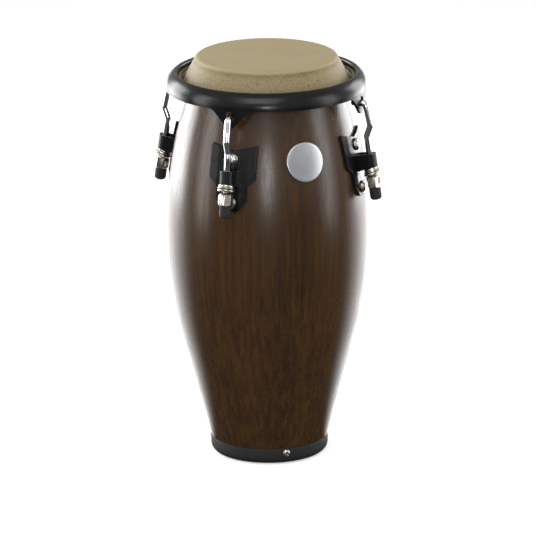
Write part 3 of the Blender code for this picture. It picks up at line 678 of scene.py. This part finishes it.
def makeRods():
    path = rodPath()
    rounding = lugForm["tipRound"]
    start = Vector(path[0]) + (Vector(path[1]) - Vector(path[0])).normalized() * rounding
    end = Vector(path[-1]) + (Vector(path[-2]) - Vector(path[-1])).normalized() * rounding
    stations = [(path[0], 0.8), (tuple(start), 1.0)] + [(p, 1.0) for p in path[1:-1]]
    stations += [(tuple(end), 1.0), (path[-1], 0.8)]
    curve = bpy.data.curves.new("hookedRod", "CURVE")
    curve.dimensions = "3D"
    curve.bevel_depth = rodRadius
    curve.bevel_resolution = 6
    curve.use_fill_caps = True
    spline = curve.splines.new("POLY")
    spline.points.add(len(stations) - 1)
    for point, ((n, s), share) in zip(spline.points, stations):
        point.co = (n, 0, s, 1)
        point.radius = share
    holder = bpy.data.objects.new("hookedRod", curve)
    bpy.context.scene.collection.objects.link(holder)
    bpy.context.view_layer.update()
    graph = bpy.context.evaluated_depsgraph_get()
    mesh = bpy.data.meshes.new_from_object(holder.evaluated_get(graph))
    bpy.data.objects.remove(holder, do_unlink=True)
    mesh.materials.clear()
    mesh.shade_smooth()
    mesh.set_sharp_from_angle(angle=math.radians(50))
    for lug, azimuth in lugs.items():
        replaced = ["tuning_rod_" + lug]
        piece("hookedRod_" + lug, mesh, "chrome", "rod_" + lug, replaced, seatPlace(azimuth))


def onRod(azimuth, rise, slant=0.0):
    shift = Matrix.Translation((lugForm["standoff"], 0, rise))
    return seatPlace(azimuth) @ shift @ Matrix.Rotation(-slant, 4, "Y")


def makeWashers():
    radius, bore = hardware["washer"], hardware["washerBore"]
    half, edge = hardware["cup"] / 2, 0.0009
    waist = radius - 0.0011
    outline = [(bore, half - 0.0003), (bore + 0.0003, half), (waist - edge, half)]
    outline += arcPoints((waist - edge, half - edge), edge, math.pi / 2, 0, 5)
    outline += [(waist, -half + 0.0019)]
    outline += arcPoints((radius - 0.0006, -half + 0.0006), 0.0006, math.pi / 2, -math.pi / 2, 6)
    outline += [(bore, -half)]
    cup = spun("cupWasher", outline, 48)
    half = hardware["seat"] / 2
    sink = hardware["sink"]
    outline = [(bore, half), (bore, -half + sink), (bore + sink * 1.8, -half)]
    outline += arcPoints((radius - half, 0), half, -math.pi / 2, math.pi / 2, 8)
    seat = spun("dishedWasher", outline, 48)
    slant = lugForm["strapSlant"]
    for lug, azimuth in lugs.items():
        place = onRod(azimuth, cupSeat, slant)
        piece("cupWasher_" + lug, cup, "nickel", "shell", ["cup_washer_" + lug], place)
        place = onRod(azimuth, washerSeat, slant)
        piece("dishedWasher_" + lug, seat, "nickel", "shell", ["seat_washer_" + lug], place)


def makeTuningNuts():
    half = hardware["nutHeight"] / 2
    flats = hardware["nutFlats"]
    corner = flats / math.sqrt(3) * 0.985
    bore = rodRadius + gap
    chamfer = flats * 0.1
    outline = [(bore, half), (bore, -half), (corner - chamfer, -half), (corner, -half + chamfer)]
    dome = [(corner, half - 0.00256), (corner * 0.82, half - 0.00096), (corner * 0.62, half)]
    outline += bend([outline[-1], *dome], [0, 0.0015, 0.004, 0], 6)[1:]
    hexagon = arcPoints((0, 0), flats / math.sqrt(3), 0, math.tau, 6)[:-1]
    blank = prism("domedNut", hexagon, -half * 1.2, half * 1.2, "Z")
    nut = carved(blank, ("INTERSECT", spun("nutEnvelope", outline, 96)))
    for lug, azimuth in lugs.items():
        place = onRod(azimuth, nutTop - half)
        replaced = ["tuning_nut_" + lug]
        made = piece("domedNut_" + lug, nut, "nickel", "nut_" + lug, replaced, place)
        softEdges(made, 0.0002, 2)


def makeEndCaps():
    half, length = hardware["cap"], hardware["capLength"]
    end = half * 0.55
    outline = [(0, -length)]
    outline += arcPoints((half - end, end - length), end, -math.pi / 2, 0, 10)
    outline += [(half, -0.0028), (half - 0.0003, -0.0026), (half - 0.0003, -0.0021)]
    outline += [(half, -0.0019)]
    outline += arcPoints((half - 0.0006, -0.0006), 0.0006, 0, math.pi / 2, 5)
    bore, floor = rodRadius + gap, rodEnd - capSeat - gap
    outline += [(bore, 0), (bore, floor), (0, floor)]
    cap = spun("endCap", outline, 48)
    for lug, azimuth in lugs.items():
        place = onRod(azimuth, capSeat)
        piece("rubberCap_" + lug, cap, "black_rubber", "rod_" + lug, ["end_cap_" + lug], place)


boltForm = {
    "above": 0.0257,
    "below": 0.016,
    "head": 0.006,
    "rise": 0.0034,
    "shank": 0.003,
    "reach": 0.0235,
}
screwForm = {
    "height": 0.0113,
    "head": 0.0038,
    "rise": 0.0023,
    "shank": 0.0016,
    "reach": 0.013,
    "azimuths": {"front": -7, "right": 113, "left": 233},
}


# A domed head on a shank along X, with a cross recess.
def crossHead(name, form):
    head, rise, shank = form["head"], form["rise"], form["shank"]
    corners = [(head, 0), (head, rise * 0.35), (head * 0.6, rise), (0, rise)]
    dome = bend(corners, [0, rise * 0.25, rise * 0.9, 0], 6)
    tip = -form["reach"]
    outline = [(0, tip), (shank * 0.8, tip), (shank, 0.0006 + tip), (shank, 0)] + dome
    blank = spun(name, outline, 40, "X")
    arm, half = head * 0.52, head * 0.11
    cross = [(-arm, -half), (arm, -half), (arm, half), (-arm, half)]
    wings = []
    for turn in (0, math.pi / 2):
        wing = prism("recess", cross, rise * 0.45, rise * 1.4, "X")
        wing.transform(Matrix.Rotation(turn + 0.3, 4, "X"))
        wings.append(wing)
    return carved(blank, *[("DIFFERENCE", wing) for wing in wings])


def makeBolts():
    bolt = crossHead("domedBolt", boltForm)
    seat = lugForm["seatHeight"]
    heights = {"upper": seat + boltForm["above"], "lower": seat - boltForm["below"]}
    for lug, azimuth in lugs.items():
        for level, height in heights.items():
            place = boltPlace(azimuth, height) @ Matrix.Translation((gap, 0, 0))
            replaced = [f"plate_bolt_{level}_{lug}"]
            piece(f"domedBolt_{level}_{lug}", bolt, "nickel", "shell", replaced, place)
    screw = crossHead("footScrew", screwForm)
    outside = shellRadius(shellForm["footStep"]) + gap
    for side, azimuth in screwForm["azimuths"].items():
        place = turnTo(azimuth) @ Matrix.Translation((outside, 0, screwForm["height"]))
        piece("ringScrew_" + side, screw, "nickel", "shell", ["foot_screw_" + side], place)


badgeForm = {"radius": 0.019, "thick": 0.0017, "edge": 0.0008, "height": 0.314}


def makeBadge():
    radius, thick, edge = badgeForm["radius"], badgeForm["thick"], badgeForm["edge"]
    outline = [(0, 0)] + [(radius * i / 8, 0) for i in range(1, 9)]
    outline += arcPoints((radius - edge, thick - edge), edge, 0, math.pi / 2, 5)
    outline += [(radius * i / 8, thick) for i in range(7, -1, -1)]
    mesh = spun("bareBadge", outline, 96, "X")
    for vertex in mesh.vertices:
        level = badgeForm["height"] + vertex.co.z
        out = vertex.co.x / math.cos(slopeAt(badgeForm["height"]))
        vertex.co.x = out + math.sqrt(shellRadius(level, gap) ** 2 - vertex.co.y**2)
        vertex.co.z = level
    piece("bareBadge", mesh, "silver_badge", "shell", ["badge"], turnTo(0))


makeRods()
makeWashers()
makeTuningNuts()
makeEndCaps()
makeBolts()
makeBadge()
for name, made in nodes.items():
    if name.startswith("side_plate"):
        softEdges(made, 0.0005)
    if name.startswith("back_"):
        softEdges(made, 0.0003, 2)
print("stage: lug pieces made")


# Stage, light and camera

floorLook = {
    "tone": 0.86,
    # The front tone is a painted dark reflection of the floor.
    "front": 0.06,
    "lift": 0.42,
    "paintedGlow": 3.2,
    "turn": (-0.1, -0.65),
    "drop": 0.0002,
    "size": 6.0,
}


# Pale to the camera; in reflections it is painted: a painted dark reflection before the drum and a
# painted glow behind it.
def floorMaterial():
    settings = {"Roughness": 0.9, "Specular IOR Level": 0.1, "Emission Strength": 1.0}
    shader = Shader("paleFloor", settings)
    cloud = shader.noise(3.0, 2.0)
    tone = floorLook["tone"]
    pale = shader.mix(cloud, colour(*(tone * 0.985,) * 3), colour(*(tone,) * 3))
    glossy = shader.add("ShaderNodeLightPath", {}, [], "Is Glossy Ray")
    # Painted reflection: to glossy rays the floor's colour is dark.
    shader.link("Base Color", shader.mix(glossy, pale, colour(*(floorLook["front"],) * 3)))
    away = shader.add("ShaderNodeVectorMath", {"operation": "NORMALIZE"}, [shader.place])
    ahead = [away, viewFrame(cameraView["azimuth"], 0)]
    facing = shader.add("ShaderNodeVectorMath", {"operation": "DOT_PRODUCT"}, ahead, "Value")
    # Painted glow: behind the drum the floor emits light, seen only in reflections.
    behind = shader.ramp(facing, *floorLook["turn"]) * glossy
    mirrored = shader.mix(behind, colour(0, 0, 0), colour(*(floorLook["paintedGlow"],) * 3))
    seen = shader.add("ShaderNodeLightPath", {}, [], "Is Camera Ray")
    shader.link("Emission Color", shader.mix(seen, mirrored, colour(*(floorLook["lift"],) * 3)))
    return shader.material


def makeStage():
    form = bmesh.new()
    bmesh.ops.create_grid(form, x_segments=1, y_segments=1, size=floorLook["size"])
    mesh = bpy.data.meshes.new("floor")
    form.to_mesh(mesh)
    form.free()
    floor = bpy.data.objects.new("floor", mesh)
    bpy.context.scene.collection.objects.link(floor)
    floor.location.z = -floorLook["drop"]
    mesh.materials.append(floorMaterial())


def areaLight(name, place, aim, size, power):
    data = bpy.data.lights.new(name, "AREA")
    data.shape = "RECTANGLE"
    data.size, data.size_y = size
    data.energy = power
    light = bpy.data.objects.new(name, data)
    light.visible_camera = False
    bpy.context.scene.collection.objects.link(light)
    light.location = place
    light.rotation_euler = (Vector(aim) - Vector(place)).to_track_quat("-Z", "Y").to_euler()


cameraView = {
    "azimuth": math.radians(-23.7),
    "elevation": math.radians(16.02),
    "distance": 6.087,
    "aim": Vector((0, 0, 0.2)),
    "lens": 417.4,
    "shift": (0.0, -0.029),
    "roll": math.radians(0.47),
}


def viewFrame(azimuth, elevation):
    return Vector(
        (
            math.sin(azimuth) * math.cos(elevation),
            -math.cos(azimuth) * math.cos(elevation),
            math.sin(elevation),
        )
    )


def makeCamera():
    data = bpy.data.cameras.new("camera")
    data.lens = cameraView["lens"]
    data.sensor_width = 36.0
    data.shift_x, data.shift_y = cameraView["shift"]
    data.clip_start, data.clip_end = 0.1, 50.0
    camera = bpy.data.objects.new("camera", data)
    bpy.context.scene.collection.objects.link(camera)
    back = viewFrame(cameraView["azimuth"], cameraView["elevation"])
    camera.location = cameraView["aim"] + back * cameraView["distance"]
    turn = (-back).to_track_quat("-Z", "Y").to_matrix()
    camera.rotation_euler = (turn @ Matrix.Rotation(-cameraView["roll"], 3, "Z")).to_euler()
    bpy.context.scene.camera = camera


studioLight = 0.5


def makeLight():
    world = bpy.data.worlds.new("studio")
    bpy.context.scene.world = world
    world.use_nodes = True
    tree = world.node_tree
    seen = tree.nodes["Background"]
    seen.inputs["Color"].default_value = (1, 1, 1, 1)
    seen.inputs["Strength"].default_value = 1.0
    lit = tree.nodes.new("ShaderNodeBackground")
    lit.inputs["Color"].default_value = (1, 1, 1, 1)
    lit.inputs["Strength"].default_value = studioLight
    path = tree.nodes.new("ShaderNodeLightPath")
    blend = tree.nodes.new("ShaderNodeMixShader")
    tree.links.new(path.outputs["Is Camera Ray"], blend.inputs[0])
    tree.links.new(lit.outputs[0], blend.inputs[1])
    tree.links.new(seen.outputs[0], blend.inputs[2])
    tree.links.new(blend.outputs[0], tree.nodes["World Output"].inputs[0])
    side = cameraView["azimuth"]
    for name, turn, height, size, power in (
        ("leftStrip", -78, 0.5, (0.5, 1.6), 10),
        ("rightStrip", 74, 0.5, (0.5, 1.6), 8),
        ("leftEdge", -126, 0.35, (0.8, 1.5), 30),
        ("rightEdge", 128, 0.35, (0.7, 1.5), 18),
        ("frontPanel", 0, 0.42, (0.2, 0.3), 3),
        ("topSoft", -10, 1.9, (1.4, 1.4), 16),
    ):
        place = viewFrame(side + math.radians(turn), 0) * 1.5
        place.z = height
        areaLight(name, place, (0, 0, 0.22), size, power)


makeStage()
makeLight()
makeCamera()
bpy.context.scene.view_settings.view_transform = "Standard"
print("stage: camera and lights made")
